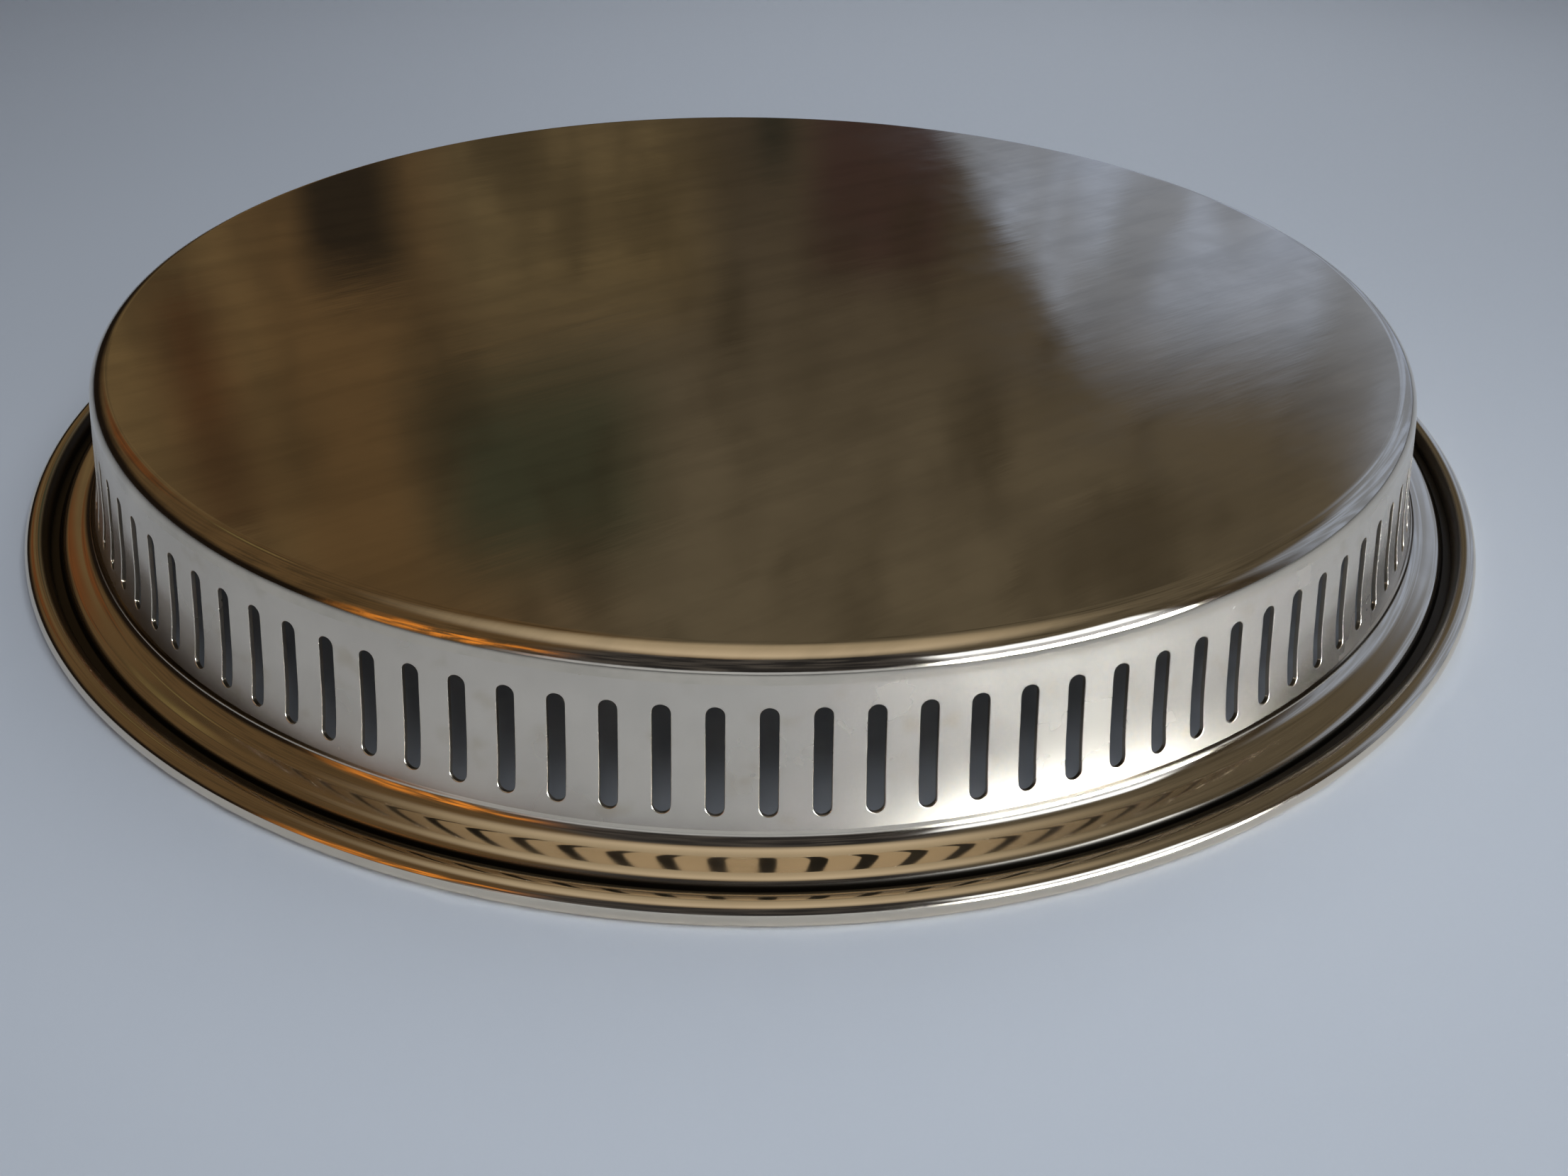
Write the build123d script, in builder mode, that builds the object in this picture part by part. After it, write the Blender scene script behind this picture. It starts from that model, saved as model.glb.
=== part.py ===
from build123d import *
import os
from math import asin, cos, degrees, radians, sin, sqrt, tan

# Round gallery tray, lying upside down: the rim's bead rests on Z = 0, the base plate is on top.
# Every section is drawn as radius (X) against height (Z) and revolved about Z. Millimetres.

# Overall size
rim_diameter = 303.5           # nominal 12 in across the bead
overall_height = 32.4
sheet = 0.8                    # sheet metal of the body

# Gallery wall: a band that flares outward from the base, with a wide cove towards the rim
wall_flare_deg = 10.2
wall_radius = 134.45           # outer face, measured at wall_radius_height
wall_radius_height = 24.6
cove_top = 15.0                # below this height the wall sweeps outward
cove_radius = 58.0
band_top = 28.0                # joint between the band and the base plate's turned edge
band_foot = 5.6                # joint between the band and the rim flange

# Piercing of the wall
slot_count = 114
slot_width = 2.65
slot_length = 17.2
slot_centre_height = 16.05

# Base plate
corner_radius = 4.1            # outside of the turned edge

# Rim flange: foot curve, gently crowned flat, roll down into a groove, and a tongue held by the bead.
# A facing is the angle above level that the outer face looks at.
foot_radius = 3.4
crest_height = 2.95
crest_facing = 87.0
crown_radius = 22.0
crown_end_facing = 82.0
roll_radius = 2.6
roll_end_facing = 30.0
groove_radius = 0.3
groove_floor = 0.95
tongue_end_radius = 148.75

# Bead: a split tube closed over a core wire, with its slit on the tongue and a flattened underside
bead_radius = 2.15
bead_centre_height = 1.55
slit_end_radius = 148.95


def outward(facing):
    """Unit vector, in radius and height, for a facing in degrees."""
    return Vector(cos(radians(facing)), sin(radians(facing)))


def wall_outside(height):
    """Point on the outer face of the wall's straight part at a height."""
    radius = wall_radius + tan(radians(wall_flare_deg)) * (wall_radius_height - height)
    return Vector(radius, height)


def into_sheet(point, facing):
    """The point on the sheet's other face."""
    return point - outward(facing) * sheet


def draw_sheet(bends, first=None, last=None):
    """Draws the closed outline of a bent sheet.

    A bend is (centre, radius, facing at its start, facing at its end), with a negative radius where the
    outer face is hollow. first and last are the pairs of points, outer and inner, that end the sheet.
    """
    faces = []
    for depth in (0, sheet):
        arcs = []
        for centre, radius, start, end in bends:
            facings = (start, (start + end) / 2, end)
            arcs.append([centre + outward(f) * (radius - depth) for f in facings])
        faces.append(arcs)
    chain = faces[0] + [arc[::-1] for arc in reversed(faces[1])]
    if last:
        chain[len(bends):len(bends)] = [[last[0]], [last[1]]]
    if first:
        chain = [[first[0]]] + chain + [[first[1]]]
    for here, following in zip(chain, chain[1:] + chain[:1]):
        if len(here) == 3:
            ThreePointArc(*here)
        if (following[0] - here[-1]).length > 1e-6:
            Line(here[-1], following[0])


# Centres of the bends, from the base plate out to the groove
corner_height = overall_height - corner_radius
corner_centre = Vector(
    wall_outside(corner_height).X - corner_radius / cos(radians(wall_flare_deg)), corner_height
)
cove_centre = wall_outside(cove_top) + outward(wall_flare_deg) * cove_radius
foot_height = crest_height + foot_radius * sin(radians(crest_facing))
foot_facing = degrees(asin((cove_centre.Y - foot_height) / (cove_radius - foot_radius)))
foot_centre = cove_centre - outward(foot_facing) * (cove_radius - foot_radius)
crown_centre = foot_centre - outward(crest_facing) * (foot_radius + crown_radius)
roll_centre = crown_centre + outward(crown_end_facing) * (crown_radius - roll_radius)
roll_end = roll_centre + outward(roll_end_facing) * roll_radius
groove_start_height = groove_floor + groove_radius * (1 - sin(radians(roll_end_facing)))
step_run = (roll_end.Y - groove_start_height) * tan(radians(roll_end_facing))
groove_centre = Vector(
    roll_end.X + step_run + groove_radius * cos(radians(roll_end_facing)), groove_floor + groove_radius
)
band_foot_facing = degrees(asin((cove_centre.Y - band_foot) / cove_radius))
band_top_outside = wall_outside(band_top)
band_top_edge = (band_top_outside, into_sheet(band_top_outside, wall_flare_deg))

# Base plate: flat disc with its edge turned down to meet the gallery band
with BuildPart() as base_plate:
    with BuildSketch(Plane.XZ):
        with BuildLine():
            draw_sheet(
                [(corner_centre, corner_radius, 90, wall_flare_deg)],
                first=(Vector(0, overall_height), Vector(0, overall_height - sheet)),
                last=band_top_edge,
            )
        make_face()
    revolve(axis=Axis.Z)

# Gallery wall: pierced strip bent to a ring, with upright round-ended slots all round
slot_planes = []
for index in range(slot_count):
    angle = radians(360 / slot_count * index - 90)             # the first slot faces -Y
    away = Vector(cos(angle), sin(angle), 0)
    slot_planes.append(Plane(
        origin=away * wall_outside(slot_centre_height).X + Vector(0, 0, slot_centre_height),
        x_dir=(-sin(angle), cos(angle), 0),
        z_dir=away * cos(radians(wall_flare_deg)) + Vector(0, 0, sin(radians(wall_flare_deg))),
    ))
with BuildPart() as gallery_wall:
    with BuildSketch(Plane.XZ):
        with BuildLine():
            draw_sheet([(cove_centre, -cove_radius, wall_flare_deg, band_foot_facing)], first=band_top_edge)
        make_face()
    revolve(axis=Axis.Z)
    with BuildSketch(*slot_planes):
        SlotOverall(slot_length, slot_width, rotation=90)
    extrude(amount=2 * sheet, both=True, mode=Mode.SUBTRACT)

# Rim flange: foot of the cove, foot curve, crowned flat, roll, groove and tongue
tongue_end = Vector(tongue_end_radius, groove_floor)
with BuildPart() as rim_flange:
    with BuildSketch(Plane.XZ):
        with BuildLine():
            draw_sheet(
                [
                    (cove_centre, -cove_radius, band_foot_facing, foot_facing),
                    (foot_centre, -foot_radius, foot_facing, crest_facing),
                    (crown_centre, crown_radius, crest_facing, crown_end_facing),
                    (roll_centre, roll_radius, crown_end_facing, roll_end_facing),
                    (groove_centre, -groove_radius, roll_end_facing, 90),
                ],
                last=(tongue_end, into_sheet(tongue_end, 90)),
            )
        make_face()
    revolve(axis=Axis.Z)

# Bead: split tube bent to a ring, open on the lower inside where it grips the tongue
bead_centre_radius = rim_diameter / 2 - bead_radius
bore_radius = bead_radius - sheet


def half_chord(circle_radius, height):
    """Half the width of a circle about the bead's centre at a height."""
    return sqrt(circle_radius ** 2 - (height - bead_centre_height) ** 2)


lip = (bead_centre_radius - half_chord(bead_radius, groove_floor), groove_floor)
crown_of_bead = (bead_centre_radius, bead_centre_height + bead_radius)
heel = (bead_centre_radius + half_chord(bead_radius, 0), 0)
bore_heel = (bead_centre_radius + half_chord(bore_radius, sheet), sheet)
bore_crown = (bead_centre_radius, bead_centre_height + bore_radius)
bore_lip = (bead_centre_radius - half_chord(bore_radius, groove_floor), groove_floor)
with BuildPart() as rim_bead:
    with BuildSketch(Plane.XZ):
        with BuildLine():
            ThreePointArc(lip, crown_of_bead, heel)
            Polyline(heel, (slit_end_radius, 0), (slit_end_radius, sheet), bore_heel)
            ThreePointArc(bore_heel, bore_crown, bore_lip)
            Line(bore_lip, lip)
        make_face()
    revolve(axis=Axis.Z)

# Core wire that the bead is closed over
wire_radius = (bore_crown[1] - sheet) / 2
with BuildPart() as edge_wire:
    with BuildSketch(Plane.XZ):
        with Locations((bead_centre_radius, sheet + wire_radius)):
            Circle(wire_radius)
    revolve(axis=Axis.Z)

os.makedirs("parts", exist_ok=True)
base_plate.part.label = "base_plate"
gallery_wall.part.label = "gallery_wall"
rim_flange.part.label = "rim_flange"
rim_bead.part.label = "rim_bead"
edge_wire.part.label = "edge_wire"
export_step(base_plate.part, "parts/base_plate.step")
export_step(gallery_wall.part, "parts/gallery_wall.step")
export_step(rim_flange.part, "parts/rim_flange.step")
export_step(rim_bead.part, "parts/rim_bead.step")
export_step(edge_wire.part, "parts/edge_wire.step")
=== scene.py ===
"""Gallery tray lying upside down on a pale floor: looks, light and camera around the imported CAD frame."""
import math

import bpy
import numpy as np
from mathutils import Matrix, Vector


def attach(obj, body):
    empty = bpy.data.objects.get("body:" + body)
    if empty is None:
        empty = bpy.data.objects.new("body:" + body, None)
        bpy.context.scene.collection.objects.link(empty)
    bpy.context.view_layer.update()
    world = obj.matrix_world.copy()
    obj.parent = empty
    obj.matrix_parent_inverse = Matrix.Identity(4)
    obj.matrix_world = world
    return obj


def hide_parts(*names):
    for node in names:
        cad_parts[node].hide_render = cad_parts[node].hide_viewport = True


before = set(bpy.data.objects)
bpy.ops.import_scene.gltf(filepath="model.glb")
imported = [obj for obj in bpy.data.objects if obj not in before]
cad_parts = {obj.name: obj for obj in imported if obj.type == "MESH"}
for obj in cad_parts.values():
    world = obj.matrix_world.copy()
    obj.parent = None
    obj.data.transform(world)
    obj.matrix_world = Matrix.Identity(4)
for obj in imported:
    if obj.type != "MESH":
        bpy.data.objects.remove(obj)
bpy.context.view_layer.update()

MM = 0.001

# ---------------------------------------------------------------------------------------------
# Sections, in millimetres: the same tray as the CAD, with smoother curves and softened edges
# ---------------------------------------------------------------------------------------------
RIM_RADIUS = 151.75
HEIGHT = 32.4
SHEET = 0.8
WALL_FLARE = math.radians(10.2)
WALL_RADIUS = 134.45
WALL_RADIUS_HEIGHT = 24.6
COVE_TOP = 15.0
COVE_RADIUS = 58.0
BAND_TOP = 28.0
BAND_FOOT = 5.6
CORNER_RADIUS = 4.1
FOOT_RADIUS = 3.4
CREST_HEIGHT = 2.95
CREST_FACING = math.radians(87)
CROWN_RADIUS = 22.0
CROWN_END_FACING = math.radians(82)
ROLL_RADIUS = 2.6
ROLL_END_FACING = math.radians(30)
GROOVE_RADIUS = 0.3
GROOVE_FLOOR = 0.95
TONGUE_END = 148.75
BEAD_RADIUS = 2.15
BEAD_CENTRE_HEIGHT = 1.55
BEAD_HEEL_RADIUS = 0.5         # softened lower outer edge of the bead
SLIT_END = 148.95

SLOT_COUNT = 114
SLOT_WIDTH = 2.65
SLOT_LENGTH = 17.2
SLOT_CENTRE_HEIGHT = 16.05
SLOT_EDGE_RADIUS = 0.14        # softened, polished edge of each punched slot

TURNS = 720                    # steps round a revolved piece
WIRE_TURNS = 360               # steps round the hidden core wire
BEND_STEP = math.radians(2.5)  # largest turn of one step along a bend
BEND_STEP_LENGTH = 0.6         # longest step along a bend
SHARP_CORNER = math.radians(25)          # a section's corner that turns more than this is shaded sharp
SAME_POINT = 1e-5              # points of a section that are closer than this are one point
SAME_HEIGHT = 1e-6             # heights that differ by less than this are level
WELD_DECIMALS = 5              # points that are alike to this many decimals are welded
ON_AXIS = 1e-6                 # a smaller radius than this lies on the tray's axis
LEVEL_UP = math.pi / 2         # the facing of a surface that looks straight up


def outward(facing):
    """Unit vector, in radius and height, for an outer face that looks this far above level."""
    return np.array([math.cos(facing), math.sin(facing)])


def wall_line(height):
    """Point on the outer face of the wall's straight part at a height."""
    return np.array([WALL_RADIUS + math.tan(WALL_FLARE) * (WALL_RADIUS_HEIGHT - height), height])


# Centres of the bends, from the base plate out to the bead
corner_height = HEIGHT - CORNER_RADIUS
CORNER_CENTRE = wall_line(corner_height) - np.array([CORNER_RADIUS / math.cos(WALL_FLARE), 0])
COVE_CENTRE = wall_line(COVE_TOP) + outward(WALL_FLARE) * COVE_RADIUS
foot_centre_height = CREST_HEIGHT + FOOT_RADIUS * math.sin(CREST_FACING)
FOOT_FACING = math.asin((COVE_CENTRE[1] - foot_centre_height) / (COVE_RADIUS - FOOT_RADIUS))
FOOT_CENTRE = COVE_CENTRE - outward(FOOT_FACING) * (COVE_RADIUS - FOOT_RADIUS)
CROWN_CENTRE = FOOT_CENTRE - outward(CREST_FACING) * (FOOT_RADIUS + CROWN_RADIUS)
ROLL_CENTRE = CROWN_CENTRE + outward(CROWN_END_FACING) * (CROWN_RADIUS - ROLL_RADIUS)
roll_end = ROLL_CENTRE + outward(ROLL_END_FACING) * ROLL_RADIUS
groove_start_height = GROOVE_FLOOR + GROOVE_RADIUS * (1 - math.sin(ROLL_END_FACING))
step_run = (roll_end[1] - groove_start_height) * math.tan(ROLL_END_FACING)
GROOVE_CENTRE = np.array([
    roll_end[0] + step_run + GROOVE_RADIUS * math.cos(ROLL_END_FACING), GROOVE_FLOOR + GROOVE_RADIUS
])
BAND_FOOT_FACING = math.asin((COVE_CENTRE[1] - BAND_FOOT) / COVE_RADIUS)
BEAD_CENTRE = np.array([RIM_RADIUS - BEAD_RADIUS, BEAD_CENTRE_HEIGHT])


# ---------------------------------------------------------------------------------------------
# Meshes
# ---------------------------------------------------------------------------------------------
def bend(centre, radius, start, end, depth=0.0):
    """Points on a bent sheet's face, from one facing to another; the radius is negative if it is hollow."""
    turn = abs(end - start)
    steps = max(4, math.ceil(turn / BEND_STEP), math.ceil(turn * abs(radius) / BEND_STEP_LENGTH))
    return [centre + outward(f) * (radius - depth) for f in np.linspace(start, end, steps + 1)]


def sheet_outline(bends, first=None, last=None):
    """Closed outline of a sheet that runs through the bends.

    first and last are its end points, each an outer and an inner one.
    """
    outer = [p for b in bends for p in bend(*b)]
    inner = [p for b in bends for p in bend(*b, depth=SHEET)][::-1]
    if first:
        outer = [first[0]] + outer
        inner = inner + [first[1]]
    if last:
        outer = outer + [last[0]]
        inner = [last[1]] + inner
    return outer + inner


def through_sheet(point, facing):
    """A point on the outer face and the one behind it on the inner face."""
    return point, point - outward(facing) * SHEET


def mesh_object(name, vertices, faces, corner_normals=None):
    """A mesh object from millimetre vertices, shaded with the given normal at each face corner."""
    mesh = bpy.data.meshes.new(name)
    mesh.from_pydata([tuple(v * MM for v in p) for p in vertices], [], faces)
    mesh.update()
    mesh.polygons.foreach_set("use_smooth", [True] * len(mesh.polygons))
    if corner_normals is not None:
        mesh.normals_split_custom_set(corner_normals)
    obj = bpy.data.objects.new(name, mesh)
    bpy.context.scene.collection.objects.link(obj)
    return obj


def revolved(name, section, turns=TURNS):
    """A closed section (radius, height), revolved about Z. Corners sharper than SHARP_CORNER stay sharp."""
    section = [np.array(p, float) for p in section]
    keep = [p for i, p in enumerate(section) if np.linalg.norm(p - section[i - 1]) > SAME_POINT]
    area = sum(a[0] * b[1] - b[0] * a[1] for a, b in zip(keep, keep[1:] + keep[:1]))
    if area < 0:
        keep.reverse()
    count = len(keep)
    span = [keep[(i + 1) % count] - keep[i] for i in range(count)]
    flat = [np.array([s[1], -s[0]]) / np.linalg.norm(s) for s in span]     # outward of each span

    def corner_normal(i, own):
        """The section's normal at point i, seen from span own.

        Long straight spans outweigh short arc steps.
        """
        before, after = flat[i - 1], flat[i % count]
        if math.acos(np.clip(before @ after, -1, 1)) > SHARP_CORNER:
            return flat[own % count]
        blend = before * np.linalg.norm(span[i - 1]) + after * np.linalg.norm(span[i % count])
        return blend / np.linalg.norm(blend)

    starts = [corner_normal(i, i) for i in range(count)]
    ends = [corner_normal((i + 1) % count, i) for i in range(count)]
    angles = [2 * math.pi * t / turns for t in range(turns)]
    cosines = [math.cos(a) for a in angles]
    sines = [math.sin(a) for a in angles]

    vertices, index = [], []
    for p in keep:
        if p[0] < ON_AXIS:
            index.append([len(vertices)] * turns)
            vertices.append((0.0, 0.0, p[1]))
        else:
            index.append(list(range(len(vertices), len(vertices) + turns)))
            vertices.extend((p[0] * c, p[0] * s, p[1]) for c, s in zip(cosines, sines))

    faces, normals = [], []
    for i in range(count):
        j = (i + 1) % count
        if keep[i][0] < ON_AXIS and keep[j][0] < ON_AXIS:
            continue                                                       # the axis itself
        for t in range(turns):
            u = (t + 1) % turns
            corners = [(i, t, starts[i]), (i, u, starts[i]), (j, u, ends[i]), (j, t, ends[i])]
            if keep[i][0] < ON_AXIS:
                corners = [corners[0], corners[2], corners[3]]
            elif keep[j][0] < ON_AXIS:
                corners = corners[:3]
            faces.append([index[row][turn] for row, turn, _ in corners])
            normals.extend((n[0] * cosines[turn], n[0] * sines[turn], n[1]) for _, turn, n in corners)
    return mesh_object(name, vertices, faces, normals)


def slot_outline(half_length, half_width, side_steps=10, end_steps=16):
    """Anticlockwise points round an upright slot, with the outward direction at each."""
    straight = half_length - half_width
    points = []
    for step in range(side_steps):                                         # right side, going up
        points.append((half_width, -straight + 2 * straight * step / side_steps, 0.0))
    for step in range(end_steps):                                          # upper end
        a = math.pi * step / end_steps
        points.append((half_width * math.cos(a), straight + half_width * math.sin(a), a))
    for step in range(side_steps):                                         # left side, going down
        points.append((-half_width, straight - 2 * straight * step / side_steps, math.pi))
    for step in range(end_steps):                                          # lower end
        a = math.pi + math.pi * step / end_steps
        points.append((half_width * math.cos(a), -straight + half_width * math.sin(a), a))
    return points


def wall_face(rise):
    """A point on the wall's outer face and its facing, at a distance up it from the slots' middle."""
    start = (SLOT_CENTRE_HEIGHT - COVE_TOP) / math.cos(WALL_FLARE)         # down to the top of the cove
    if rise >= -start:
        up = np.array([-math.sin(WALL_FLARE), math.cos(WALL_FLARE)])
        return wall_line(SLOT_CENTRE_HEIGHT) + up * rise, WALL_FLARE
    facing = WALL_FLARE + (-rise - start) / COVE_RADIUS
    return COVE_CENTRE - outward(facing) * COVE_RADIUS, facing


def pierced_band(name):
    """The gallery wall: one bay with its slot, repeated round the ring and welded.

    A bay is a stack of rings that run from the bay's outer border, over the slot's softened edge, through
    the sheet and back out to the inner border.
    """
    cove_start = (SLOT_CENTRE_HEIGHT - COVE_TOP) / math.cos(WALL_FLARE)
    top = (BAND_TOP - SLOT_CENTRE_HEIGHT) / math.cos(WALL_FLARE)
    foot = -cove_start - (BAND_FOOT_FACING - WALL_FLARE) * COVE_RADIUS
    half_bay = math.pi / SLOT_COUNT
    straight = SLOT_LENGTH / 2 - SLOT_WIDTH / 2
    outline = slot_outline(SLOT_LENGTH / 2, SLOT_WIDTH / 2)
    edge = SLOT_EDGE_RADIUS

    def border(rise, a):
        """Where the bay's border lies beyond an outline point: share of the half bay, and the rise."""
        side = round(math.cos(a), 9)
        lift = round(math.sin(a), 9)
        limit = top if lift > 0 else foot
        if lift == 0:
            return math.copysign(1.0, side), rise
        if abs(side) >= abs(lift):
            level = math.copysign(straight, lift)
            return math.copysign(1.0, side), level + (limit - level) * abs(lift / side)
        return side / abs(lift), limit

    edge_steps = 5
    quarter_turns = [math.pi / 2 * step / edge_steps for step in range(edge_steps + 1)]
    reaches = (1.0, 0.55, 0.2)                     # share of the way from the slot's edge to the border
    rings = [("out", reach, 0.0, 0.0) for reach in reaches]
    rings += [("in", edge * (1 - math.sin(a)), edge * (1 - math.cos(a)), a) for a in quarter_turns]
    rings += [
        ("in", edge * (1 - math.cos(a)), SHEET - edge * (1 - math.sin(a)), math.pi / 2 + a)
        for a in quarter_turns
    ]
    rings += [("out", reach, SHEET, math.pi) for reach in reversed(reaches)]

    vertices, normals = [], []
    for kind, reach, depth, tilt in rings:
        for x, rise, a in outline:
            if kind == "out":
                near_x = x + math.cos(a) * edge
                near_rise = rise + math.sin(a) * edge
                share, border_rise = border(rise, a)
                here = near_rise + (border_rise - near_rise) * reach
                near_angle = near_x / wall_face(near_rise)[0][0]
                angle = near_angle + (share * half_bay - near_angle) * reach
                point, facing = wall_face(here)
            else:
                point, facing = wall_face(rise + math.sin(a) * reach)
                angle = (x + math.cos(a) * reach) / point[0]
            radius, height = point - outward(facing) * depth
            face = np.array([math.cos(facing), 0.0, math.sin(facing)])                # outward, round, up
            into_slot = np.array([
                math.sin(a) * math.sin(facing), -math.cos(a), -math.sin(a) * math.cos(facing)
            ])
            vertices.append((radius, angle, height))
            normals.append(face * math.cos(tilt) + into_slot * math.sin(tilt))

    count = len(outline)
    quads = []                                                             # (four vertices, end face or 0)
    for row in range(len(rings) - 1):
        for k in range(count):
            m = (k + 1) % count
            this_row, next_row = row * count, (row + 1) * count
            quads.append(((this_row + k, this_row + m, next_row + m, next_row + k), 0))
    last = (len(rings) - 1) * count
    for k in range(count):
        m = (k + 1) % count
        for limit, side in ((top, 1), (foot, -1)):
            level = wall_face(limit)[0][1]
            if all(abs(vertices[v][2] - level) < SAME_HEIGHT for v in (k, m)):
                quads.append(((m, k, last + k, last + m), side))

    ends = {1: outward(WALL_FLARE + math.pi / 2), -1: outward(BAND_FOOT_FACING - math.pi / 2)}
    all_points, faces, corner_normals = [], [], []
    for bay_index in range(SLOT_COUNT):
        turn = 2 * half_bay * bay_index - math.pi / 2                      # the first slot faces -Y
        first = len(all_points)
        turned = []
        for (radius, angle, height), n in zip(vertices, normals):
            a = turn + angle
            all_points.append((radius * math.cos(a), radius * math.sin(a), height))
            turned.append((
                n[0] * math.cos(a) - n[1] * math.sin(a), n[0] * math.sin(a) + n[1] * math.cos(a), n[2]
            ))
        for quad, side in quads:
            faces.append([first + v for v in quad])
            if side:
                for v in quad:
                    a = turn + vertices[v][1]
                    corner_normals.append((
                        ends[side][0] * math.cos(a), ends[side][0] * math.sin(a), ends[side][1]
                    ))
            else:
                corner_normals.extend(turned[v] for v in quad)

    _, first_seen, welded = np.unique(
        np.round(np.array(all_points), WELD_DECIMALS), axis=0, return_index=True, return_inverse=True
    )
    welded = welded.reshape(-1)
    points = [all_points[i] for i in first_seen]
    faces = [[int(welded[v]) for v in f] for f in faces]
    return mesh_object(name, points, faces, corner_normals)


# ---------------------------------------------------------------------------------------------
# Materials
# ---------------------------------------------------------------------------------------------
class Nodes:
    """Short calls for building a node tree."""

    def __init__(self, tree):
        self.tree = tree
        tree.nodes.clear()

    def add(self, kind, **settings):
        """Adds a node of a kind, with its settings."""
        node = self.tree.nodes.new(kind)
        for name, value in settings.items():
            setattr(node, name, value)
        return node

    def put(self, value, socket):
        """Sets a socket to a number or colour, or links it to another socket."""
        if isinstance(value, bpy.types.NodeSocket):
            self.tree.links.new(value, socket)
        elif value is not None:
            socket.default_value = value

    def math(self, operation, a, b=None):
        """The result of a sum on one or two numbers."""
        node = self.add("ShaderNodeMath", operation=operation)
        self.put(a, node.inputs[0])
        self.put(b, node.inputs[1])
        return node.outputs[0]

    def smooth(self, value, low, high, out_low=0.0, out_high=1.0):
        """Eases from out_low to out_high as value goes from low to high; low may be above high."""
        node = self.add("ShaderNodeMapRange", interpolation_type="SMOOTHSTEP")
        if low > high:
            low, high, out_low, out_high = high, low, out_high, out_low
        for item, socket in zip((value, low, high, out_low, out_high), node.inputs):
            self.put(item, socket)
        return node.outputs[0]

    def mix(self, factor, a, b):
        """Colour a where factor is 0, and b where it is 1."""
        node = self.add("ShaderNodeMix", data_type="RGBA", blend_type="MIX")
        self.put(factor, node.inputs["Factor"])
        self.put(a, node.inputs[6])
        self.put(b, node.inputs[7])
        return node.outputs[2]

    def noise(self, vector, scale, detail=2.0, roughness=0.5):
        """Cloudy noise, about 0.5 on average."""
        node = self.add("ShaderNodeTexNoise")
        self.put(vector, node.inputs["Vector"])
        self.put(scale, node.inputs["Scale"])
        self.put(detail, node.inputs["Detail"])
        self.put(roughness, node.inputs["Roughness"])
        return node.outputs["Fac"]

    def mapped(self, vector, scale=(1, 1, 1), rotation=(0, 0, 0), location=(0, 0, 0)):
        """A position or direction that is scaled, then turned, then moved."""
        node = self.add("ShaderNodeMapping")
        self.put(vector, node.inputs["Vector"])
        self.put(scale, node.inputs["Scale"])
        self.put(rotation, node.inputs["Rotation"])
        self.put(location, node.inputs["Location"])
        return node.outputs["Vector"]


def rgba(red, green, blue):
    """An opaque colour."""
    return (red, green, blue, 1.0)


SILVER = (0.81, 0.71, 0.57)
WALL_SILVER = (0.81, 0.72, 0.60)
TARNISH_BROWN = rgba(0.50, 0.38, 0.22)
BRASS = rgba(0.78, 0.62, 0.34)
# Near-black colour painted into the groove between flange and bead: painted shade
PAINTED_GROOVE_SHADE = rgba(0.030, 0.025, 0.018)
HAZE = 0.14                    # how much darker the dull patches are
CLOUD_COVER = 0.55             # how far the cloudy patches go towards the dulled colour
MOTTLE_COVER = 0.25            # the same for the small mottles
CLOUD_ROUGHNESS = 0.05         # roughness that the cloudy patches add
SCRATCH_DARKENING = 0.62       # a worn scratch's colour, as a share of the metal's
TURNED_EDGE_ROUGHNESS = 0.14   # roughness that the turned edge adds
PAINTED_SHADE_COVER = 0.96             # how far the painted shade hides the metal
PAINTED_SHADE_ROUGHNESS = 0.35         # roughness that the painted shade adds
WIRE_ROUGHNESS = 0.35


def add_output(n, shader):
    """Joins a shader to the tree's output."""
    output = n.add("ShaderNodeOutputMaterial")
    n.put(shader.outputs[0], output.inputs["Surface"])


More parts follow.
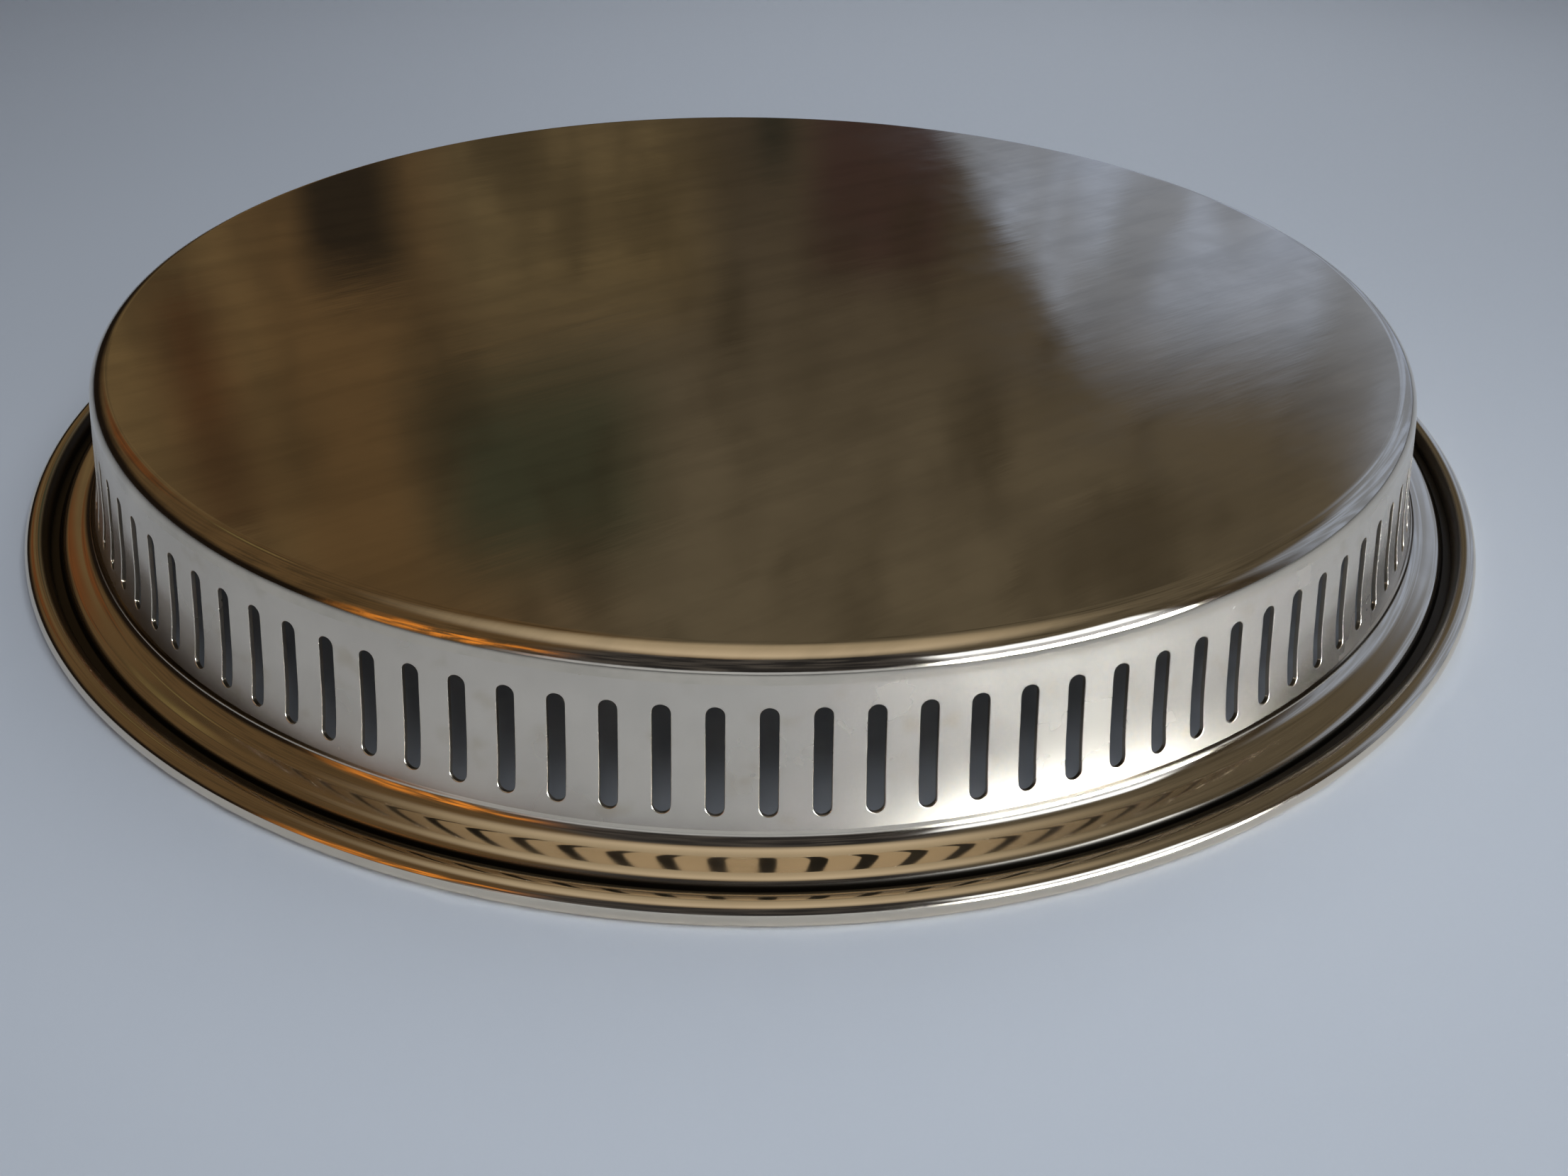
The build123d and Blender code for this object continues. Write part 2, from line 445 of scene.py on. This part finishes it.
def silver_plate(name, colour, roughness, streak_height=0.0, turned_edge=0.0, tarnish=0.0, painted_shade_ring=None):
    """Worn silver plate: cloudy dull patches, wiped scratches, brown tarnish blots, and painted shade in a
    groove.

    streak_height is the depth of the scratches in metres, turned_edge the height in metres below which the
    metal is nearly as dull as the wall, tarnish the strength of the blots, and the last argument the inner
    and outer radius in metres of a ring painted near-black and duller, as painted shade in the groove.
    """
    material = bpy.data.materials.new(name)
    material.use_nodes = True
    n = Nodes(material.node_tree)
    shader = n.add("ShaderNodeBsdfPrincipled")
    shader.inputs["Metallic"].default_value = 1.0
    add_output(n, shader)
    place = n.add("ShaderNodeTexCoord").outputs["Object"]
    split = n.add("ShaderNodeSeparateXYZ")
    n.put(place, split.inputs[0])
    x, y, z = split.outputs

    cloudy = n.smooth(n.noise(place, scale=38, detail=4, roughness=0.6), low=0.36, high=0.68)
    mottles = n.noise(n.mapped(place, location=(0.31, 0.12, 0.05)), scale=130, detail=3, roughness=0.6)
    mottled = n.smooth(mottles, low=0.35, high=0.75)
    dulled = tuple(c * (1 - HAZE) for c in colour)
    surface = n.mix(n.math("MULTIPLY", cloudy, CLOUD_COVER), rgba(*colour), rgba(*dulled))
    surface = n.mix(n.math("MULTIPLY", mottled, MOTTLE_COVER), surface, rgba(*dulled))
    rough = n.math("ADD", n.math("MULTIPLY", cloudy, CLOUD_ROUGHNESS), roughness)
    if streak_height:
        along_fine = n.mapped(place, rotation=(0, 0, math.radians(-34)))
        along_broad = n.mapped(place, rotation=(0, 0, math.radians(-20)))
        fine = n.mapped(along_fine, scale=(22, 150, 150))
        broad = n.mapped(along_broad, scale=(12, 75, 75))
        scratches = n.noise(fine, scale=1.0, detail=4, roughness=0.6)
        waves = n.noise(broad, scale=1.0, detail=2, roughness=0.5)
        bump = n.add("ShaderNodeBump")
        bump.inputs["Strength"].default_value = 1.0
        bump.inputs["Distance"].default_value = streak_height
        n.put(n.math("ADD", scratches, waves), bump.inputs["Height"])
        n.put(bump.outputs[0], shader.inputs["Normal"])
        worn = n.smooth(scratches, low=0.42, high=0.66, out_high=0.30)
        surface = n.mix(worn, surface, rgba(*(c * SCRATCH_DARKENING for c in colour)))
    if turned_edge:
        lower = n.smooth(z, low=turned_edge + 0.3 * MM, high=turned_edge - 0.1 * MM)
        rough = n.math("ADD", rough, n.math("MULTIPLY", lower, TURNED_EDGE_ROUGHNESS))
    if tarnish:
        spots = n.noise(n.mapped(place, location=(0.07, 0.23, 0.4)), scale=165, detail=2, roughness=0.5)
        blots = n.smooth(spots, low=0.55, high=0.80)
        surface = n.mix(n.math("MULTIPLY", blots, tarnish), surface, TARNISH_BROWN)
    # Painted shade: a near-black, duller ring over the groove and the flange's roll-over beside it
    if painted_shade_ring:
        radius = n.math("SQRT", n.math("ADD", n.math("MULTIPLY", x, x), n.math("MULTIPLY", y, y)))
        inner, outer = painted_shade_ring
        from_inside = n.smooth(radius, low=inner - 0.2 * MM, high=inner + 0.3 * MM)
        from_outside = n.smooth(radius, low=outer + 0.3 * MM, high=outer - 0.3 * MM)
        painted_shade = n.math("MULTIPLY", from_inside, from_outside)
        surface = n.mix(n.math("MULTIPLY", painted_shade, PAINTED_SHADE_COVER), surface, PAINTED_GROOVE_SHADE)
        rough = n.math("ADD", rough, n.math("MULTIPLY", painted_shade, PAINTED_SHADE_ROUGHNESS))
    n.put(surface, shader.inputs["Base Color"])
    n.put(rough, shader.inputs["Roughness"])
    return material


def plain_wire(name):
    """Dull brass wire with brown patches."""
    material = bpy.data.materials.new(name)
    material.use_nodes = True
    n = Nodes(material.node_tree)
    shader = n.add("ShaderNodeBsdfPrincipled")
    shader.inputs["Metallic"].default_value = 1.0
    shader.inputs["Roughness"].default_value = WIRE_ROUGHNESS
    add_output(n, shader)
    place = n.add("ShaderNodeTexCoord").outputs["Object"]
    patches = n.smooth(n.noise(place, scale=60, detail=3), low=0.4, high=0.7)
    n.put(n.mix(patches, BRASS, TARNISH_BROWN), shader.inputs["Base Color"])
    return material


base_silver = silver_plate(
    "silver_base", SILVER, roughness=0.065, streak_height=0.022 * MM, turned_edge=29.0 * MM
)
wall_silver = silver_plate("silver_wall", WALL_SILVER, roughness=0.24, tarnish=0.35)
# The ring given last to the flange and the bead is painted shade in the groove between them
flange_silver = silver_plate("silver_flange", SILVER, roughness=0.09, painted_shade_ring=(145.3 * MM, 150.0 * MM))
bead_silver = silver_plate("silver_bead", SILVER, roughness=0.09, painted_shade_ring=(146.0 * MM, 148.6 * MM))
core_metal = plain_wire("core_wire")


# ---------------------------------------------------------------------------------------------
# Pieces
# ---------------------------------------------------------------------------------------------
def place_piece(piece, node, material):
    """Gives a piece its material, and puts it in the place of its CAD node."""
    piece.data.materials.append(material)
    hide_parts(node)
    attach(piece, "root")


band_top_edge = through_sheet(wall_line(BAND_TOP), WALL_FLARE)

base_outline = sheet_outline(
    [(CORNER_CENTRE, CORNER_RADIUS, LEVEL_UP, WALL_FLARE)],
    first=(np.array([0, HEIGHT]), np.array([0, HEIGHT - SHEET])),
    last=band_top_edge,
)
place_piece(revolved("base_plate_skin", base_outline), "base_plate", base_silver)

place_piece(pierced_band("gallery_wall_skin"), "gallery_wall", wall_silver)

tongue_end = np.array([TONGUE_END, GROOVE_FLOOR])
flange_outline = sheet_outline(
    [
        (COVE_CENTRE, -COVE_RADIUS, BAND_FOOT_FACING, FOOT_FACING),
        (FOOT_CENTRE, -FOOT_RADIUS, FOOT_FACING, CREST_FACING),
        (CROWN_CENTRE, CROWN_RADIUS, CREST_FACING, CROWN_END_FACING),
        (ROLL_CENTRE, ROLL_RADIUS, CROWN_END_FACING, ROLL_END_FACING),
        (GROOVE_CENTRE, -GROOVE_RADIUS, ROLL_END_FACING, LEVEL_UP),
    ],
    last=through_sheet(tongue_end, LEVEL_UP),
)
place_piece(revolved("rim_flange_skin", flange_outline), "rim_flange", flange_silver)


def bead_facing(radius, height):
    """Facing, within plus or minus 90 degrees, where a circle about the bead's centre is at a height."""
    return math.asin((height - BEAD_CENTRE_HEIGHT) / radius)


bore = BEAD_RADIUS - SHEET
heel_reach = BEAD_RADIUS - BEAD_HEEL_RADIUS
heel_facing = math.asin((BEAD_HEEL_RADIUS - BEAD_CENTRE_HEIGHT) / heel_reach)
heel_centre = BEAD_CENTRE + outward(heel_facing) * heel_reach
bead_outline = (
    bend(BEAD_CENTRE, BEAD_RADIUS, math.pi - bead_facing(BEAD_RADIUS, GROOVE_FLOOR), heel_facing)
    + bend(heel_centre, BEAD_HEEL_RADIUS, heel_facing, -LEVEL_UP)
    + [np.array([SLIT_END, 0]), np.array([SLIT_END, SHEET])]
    + bend(BEAD_CENTRE, bore, bead_facing(bore, SHEET), math.pi - bead_facing(bore, GROOVE_FLOOR))
)
place_piece(revolved("rim_bead_skin", bead_outline), "rim_bead", bead_silver)

wire_radius = (BEAD_CENTRE_HEIGHT + bore - SHEET) / 2
wire_centre = np.array([BEAD_CENTRE[0], SHEET + wire_radius])
wire_outline = bend(wire_centre, wire_radius, 0, 2 * math.pi)[:-1]
wire_skin = revolved("edge_wire_skin", wire_outline, turns=WIRE_TURNS)
place_piece(wire_skin, "edge_wire", core_metal)

# ---------------------------------------------------------------------------------------------
# Floor
# ---------------------------------------------------------------------------------------------
FLOOR_REACH = 3                # metres from the tray's axis to each edge
FLOOR_COLOUR = rgba(0.63, 0.66, 0.71)
FLOOR_ROUGHNESS = 0.9
FLOOR_SPECULAR = 0.1
floor_corners = [(x * FLOOR_REACH, y * FLOOR_REACH, 0) for x, y in ((-1, -1), (1, -1), (1, 1), (-1, 1))]
floor_mesh = bpy.data.meshes.new("floor")
floor_mesh.from_pydata(floor_corners, [], [(0, 1, 2, 3)])
floor = bpy.data.objects.new("floor", floor_mesh)
bpy.context.scene.collection.objects.link(floor)
floor_material = bpy.data.materials.new("floor_pale")
floor_material.use_nodes = True
floor_shader = floor_material.node_tree.nodes["Principled BSDF"]
floor_shader.inputs["Base Color"].default_value = FLOOR_COLOUR
floor_shader.inputs["Roughness"].default_value = FLOOR_ROUGHNESS
floor_shader.inputs["Specular IOR Level"].default_value = FLOOR_SPECULAR
floor_mesh.materials.append(floor_material)


# ---------------------------------------------------------------------------------------------
# Surroundings: what the polished metal reflects
# ---------------------------------------------------------------------------------------------
ROOM_LOW = rgba(0.058, 0.046, 0.032)
ROOM_HIGH = rgba(0.112, 0.096, 0.068)
RED_BROWN = rgba(0.110, 0.071, 0.034)
DARK_WOOD = rgba(0.030, 0.024, 0.015)
CEILING_BACK = rgba(0.40, 0.34, 0.245)
CEILING_FRONT = rgba(0.60, 0.52, 0.40)
VIEWER_DARK = rgba(0.022, 0.022, 0.024)
VIEWER_PALE = rgba(0.075, 0.072, 0.072)
TABLE_CLOTH = rgba(0.45, 0.50, 0.58)
DARK_CORNER = rgba(0.010, 0.007, 0.005)
FLAME = rgba(0.95, 0.34, 0.05)
CURTAIN_DARK = rgba(0.24, 0.275, 0.345)
CURTAIN_PALE = rgba(0.37, 0.45, 0.62)
PANE_LOW = rgba(0.60, 0.66, 0.78)
PANE_HIGH = rgba(1.8, 2.0, 2.3)
GLARE = rgba(64.0, 69.0, 74.0)
SOFT_LIGHT = rgba(0.095, 0.101, 0.116)

# Patches of the room, each a box in degrees: left, right, low, high, then its soft border and its colour
FURNITURE = (
    (-13, -2, 14, 23, 2.0, rgba(0.120, 0.092, 0.050)),         # yellow-brown
    (-19, -15, 8, 21, 1.0, rgba(0.022, 0.017, 0.012)),         # nearly black
    (-36, -22, 12, 32, 2.0, rgba(0.145, 0.102, 0.050)),        # light brown
    (-25.5, -23, 20, 30, 1.5, rgba(0.075, 0.038, 0.018)),      # red-brown
    (-15, -5, 25, 33, 2.5, rgba(0.042, 0.046, 0.030)),         # dark green
    (3, 9, 10, 21, 1.2, rgba(0.046, 0.029, 0.025)),            # dark red
    (0.5, 2, 10, 17, 0.8, rgba(0.025, 0.024, 0.018)),          # thin black upright
    (-52, -37, 21, 31, 2.5, rgba(0.150, 0.058, 0.020)),        # orange
    (-44, -38, 37, 42, 2.0, rgba(0.210, 0.165, 0.070)),        # yellow
)


def surroundings():
    """What the polished metal reflects, with plain soft light for all else.

    The reflections show a dim warm room behind the tray, a pale curtain and a window to the right, a pale
    ceiling, and the dark figure of a viewer in front.
    """
    world = bpy.data.worlds.new("room")
    bpy.context.scene.world = world
    world.use_nodes = True
    n = Nodes(world.node_tree)
    direction = n.add("ShaderNodeTexCoord").outputs["Generated"]
    split = n.add("ShaderNodeSeparateXYZ")
    n.put(direction, split.inputs[0])
    x, y, z = split.outputs
    degrees = 180 / math.pi
    elevation = n.math("MULTIPLY", n.math("ARCSINE", z), degrees)
    azimuth = n.math("MULTIPLY", n.math("ARCTAN2", x, y), degrees)         # 0 is +Y, 90 is +X

    def patch(left, right, low, high, soft=6.0):
        """1 inside a box of azimuth and elevation, 0 outside, with soft borders."""
        factors = [
            n.smooth(azimuth, left - soft, left + soft),
            n.smooth(azimuth, right + soft, right - soft),
            n.smooth(elevation, low - soft, low + soft),
            n.smooth(elevation, high + soft, high - soft),
        ]
        result = factors[0]
        for factor in factors[1:]:
            result = n.math("MULTIPLY", result, factor)
        return result

    def room_noise(scale, fineness, detail, roughness=0.5, location=(0, 0, 0)):
        """Noise over the room, stretched along each axis."""
        return n.noise(n.mapped(direction, scale=scale, location=location), fineness, detail, roughness)

    # The room behind the tray
    colour = n.mix(n.smooth(elevation, low=15, high=33), ROOM_LOW, ROOM_HIGH)
    colour = n.mix(n.smooth(azimuth, low=-3, high=-18), colour, RED_BROWN)
    for left, right, low, high, soft, tone in FURNITURE:
        colour = n.mix(patch(left, right, low, high, soft), colour, tone)
    wood = room_noise((5.0, 5.0, 2.2), fineness=2.6, detail=5, roughness=0.65)
    colour = n.mix(n.smooth(wood, low=0.56, high=0.34, out_high=0.65), colour, DARK_WOOD)

    # The ceiling, brighter towards the front
    ceiling = n.mix(n.smooth(y, low=0.30, high=-0.50), CEILING_BACK, CEILING_FRONT)
    colour = n.mix(n.smooth(elevation, low=50, high=74), colour, ceiling)

    # The viewer in front, in uneven dark clothes, above a strip of pale cloth
    front = n.smooth(n.math("ABSOLUTE", azimuth), low=136, high=152)
    clothes = room_noise((4.0, 4.0, 3.0), fineness=1.8, detail=3, location=(0.4, 0.0, 0.2))
    viewer = n.mix(n.smooth(clothes, low=0.40, high=0.62), VIEWER_DARK, VIEWER_PALE)
    colour = n.mix(n.math("MULTIPLY", front, n.smooth(elevation, low=60, high=54)), colour, viewer)
    colour = n.mix(n.math("MULTIPLY", front, n.smooth(elevation, low=10, high=6)), colour, TABLE_CLOTH)

    # The dark corner and the lamp, both at the left
    colour = n.mix(patch(-112, -28, -20, 16), colour, DARK_CORNER)
    flicker = n.smooth(room_noise((6.0, 6.0, 2.5), fineness=2.0, detail=2), low=0.40, high=0.58)
    colour = n.mix(n.math("MULTIPLY", patch(-146, -116, 4, 30), flicker), colour, FLAME)

    # The pale curtain at the right. Its left edge leans, and its top edge rises towards the right
    lean = n.math("ADD", azimuth, n.math("MULTIPLY", elevation, -0.8))
    top_rise = n.smooth(azimuth, low=24, high=38, out_high=9.0)
    below_top = n.math("SUBTRACT", elevation, top_rise)
    inside_edge = n.smooth(lean, low=-4.2, high=-2.8)
    curtain = n.math("MULTIPLY", inside_edge, n.smooth(below_top, low=26.5, high=17.5))
    curtain = n.math("MULTIPLY", curtain, n.smooth(azimuth, low=100, high=80))
    folds = n.smooth(room_noise((9.0, 9.0, 1.5), fineness=2.0, detail=2), low=0.38, high=0.62)
    colour = n.mix(curtain, colour, n.mix(folds, CURTAIN_DARK, CURTAIN_PALE))

    # The window at the front right, with dim low panes, brighter ones above, and glare along its foot
    panes = n.mix(n.smooth(elevation, low=21, high=27), PANE_LOW, PANE_HIGH)
    panes = n.mix(n.smooth(elevation, low=11.5, high=8.5), panes, GLARE)
    colour = n.mix(patch(114, 152, 2, 36, soft=3.0), colour, panes)

    room = n.add("ShaderNodeBackground")
    n.put(colour, room.inputs["Color"])
    soft_light = n.add("ShaderNodeBackground")
    n.put(SOFT_LIGHT, soft_light.inputs["Color"])
    ray = n.add("ShaderNodeLightPath")
    choose = n.add("ShaderNodeMixShader")
    n.put(ray.outputs["Is Glossy Ray"], choose.inputs[0])
    n.put(soft_light.outputs[0], choose.inputs[1])
    n.put(room.outputs[0], choose.inputs[2])
    output = n.add("ShaderNodeOutputWorld")
    n.put(choose.outputs[0], output.inputs["Surface"])


surroundings()


def softbox(name, azimuth, elevation, distance, size, watts, colour):
    """An area light aimed at the tray from a direction in degrees, with distance and size in metres.

    It lights the floor, and isn't seen in reflections.
    """
    light = bpy.data.lights.new(name, "AREA")
    light.shape = "RECTANGLE"
    light.size, light.size_y = size
    light.energy = watts
    light.color = colour
    obj = bpy.data.objects.new(name, light)
    a, e = math.radians(azimuth), math.radians(elevation)
    toward = Vector((math.sin(a) * math.cos(e), math.cos(a) * math.cos(e), math.sin(e)))
    obj.location = toward * distance
    obj.rotation_euler = toward.to_track_quat("Z", "Y").to_euler()
    obj.visible_camera = False
    obj.visible_glossy = False
    bpy.context.scene.collection.objects.link(obj)


softbox(
    "front_light", azimuth=164, elevation=58, distance=0.43, size=(0.28, 0.28), watts=0.80,
    colour=(0.88, 0.94, 1.0),
)
softbox(
    "window_light", azimuth=133, elevation=20, distance=1.3, size=(1.1, 0.6), watts=1.8,
    colour=(0.85, 0.93, 1.0),
)
softbox(
    "back_light", azimuth=20, elevation=50, distance=0.8, size=(0.4, 0.4), watts=1.6,
    colour=(0.90, 0.95, 1.0),
)

# ---------------------------------------------------------------------------------------------
# Camera
# ---------------------------------------------------------------------------------------------
CAMERA_PLACE = Vector((-0.00355, -0.27150, 0.13899))        # metres
CAMERA_PAN = math.radians(2.13)          # to the right of +Y
CAMERA_TILT = math.radians(34.59)        # below level
CAMERA_ROLL = math.radians(1.29)
SENSOR_WIDTH = 36                        # millimetres
LENS = 30.1                              # millimetres
NEAREST = 0.01                           # metres, where the view begins
ahead = Vector((
    math.sin(CAMERA_PAN) * math.cos(CAMERA_TILT),
    math.cos(CAMERA_PAN) * math.cos(CAMERA_TILT),
    -math.sin(CAMERA_TILT),
))
level_right = Vector((math.cos(CAMERA_PAN), -math.sin(CAMERA_PAN), 0))
level_up = level_right.cross(ahead)
right = math.cos(CAMERA_ROLL) * level_right + math.sin(CAMERA_ROLL) * level_up
up = math.cos(CAMERA_ROLL) * level_up - math.sin(CAMERA_ROLL) * level_right
camera_data = bpy.data.cameras.new("camera")
camera_data.sensor_width = SENSOR_WIDTH
camera_data.lens = LENS
camera_data.clip_start = NEAREST
camera = bpy.data.objects.new("camera", camera_data)
axes = Matrix((right, up, -ahead)).transposed().to_4x4()
camera.matrix_world = Matrix.Translation(CAMERA_PLACE) @ axes
bpy.context.scene.collection.objects.link(camera)
bpy.context.scene.camera = camera

bpy.context.scene.view_settings.view_transform = "Standard"
